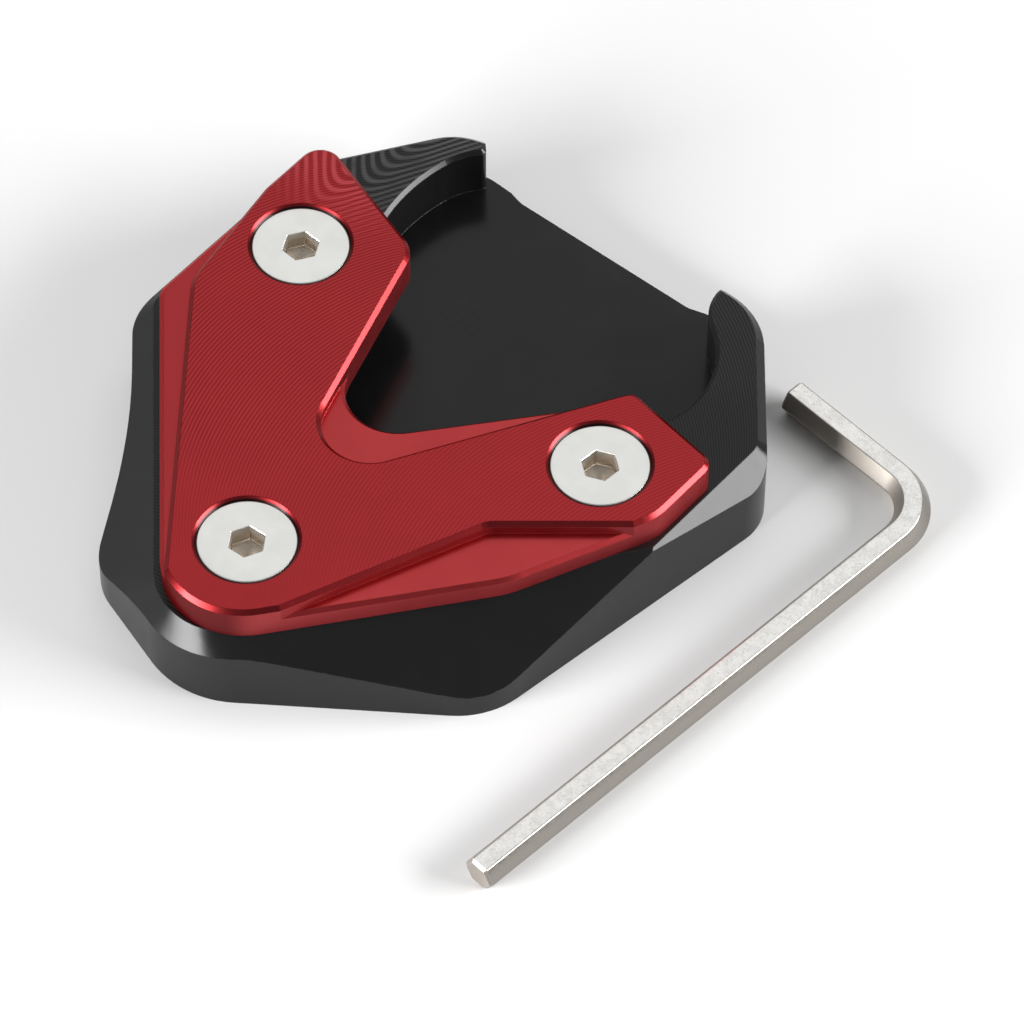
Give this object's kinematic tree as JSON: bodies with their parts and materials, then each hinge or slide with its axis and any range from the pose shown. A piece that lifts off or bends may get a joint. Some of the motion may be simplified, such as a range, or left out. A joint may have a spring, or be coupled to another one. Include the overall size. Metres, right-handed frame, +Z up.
{
  "type": "kickstand foot pad",
  "caption": "Clamp-on foot pad that enlarges the end of a motorcycle side stand, with countersunk screws and a hex key.",
  "frame": {"origin": "on the pad's underside, near the middle of the plate", "axes": "+Z up from the ground, +Y towards the open side of the pocket, where the stand's leg comes in"},
  "size_m": [0.0913, 0.0824, 0.0155],
  "materials": {
    "base": "black anodised, milled",
    "clamp": "red anodised, milled",
    "screw": "satin stainless",
    "key": "nickel plated"
  },
  "bodies": {
    "base": {"base_plate": "base"},
    "clamp": {"clamp_plate": "clamp"},
    "rear_screw": {"screw_rear": "screw"},
    "front_screw": {"screw_front": "screw"},
    "right_screw": {"screw_right": "screw"},
    "key": {"hex_key": "key"}
  },
  "joints": [
    {"name": "clamp_lift", "type": "slide", "parent": "base", "child": "clamp", "axis": [0, 0, 1], "range_m": [0, 0.008]},
    {"name": "screw_rear_turn", "type": "hinge", "parent": "clamp", "child": "rear_screw", "pos_m": [-0.025, 0.0105, 0.01515], "axis": [0, 0, 1], "range_deg": [0, 2880]},
    {"name": "screw_front_turn", "type": "hinge", "parent": "clamp", "child": "front_screw", "pos_m": [0, -0.0273, 0.01515], "axis": [0, 0, 1], "range_deg": [0, 2880]},
    {"name": "screw_right_turn", "type": "hinge", "parent": "clamp", "child": "right_screw", "pos_m": [0.0244, 0.0083, 0.01515], "axis": [0, 0, 1], "range_deg": [0, 2880]},
    {"name": "hex_key_lift", "type": "slide", "parent": "base", "child": "key", "axis": [0, 0, 1], "range_m": [0, 0.05]}
  ],
  "couplings": [
    {"joint": "screw_rear_turn", "follows": "clamp_lift", "rad_per_m": 6283.2},
    {"joint": "screw_front_turn", "follows": "clamp_lift", "rad_per_m": 6283.2},
    {"joint": "screw_right_turn", "follows": "clamp_lift", "rad_per_m": 6283.2}
  ]
}
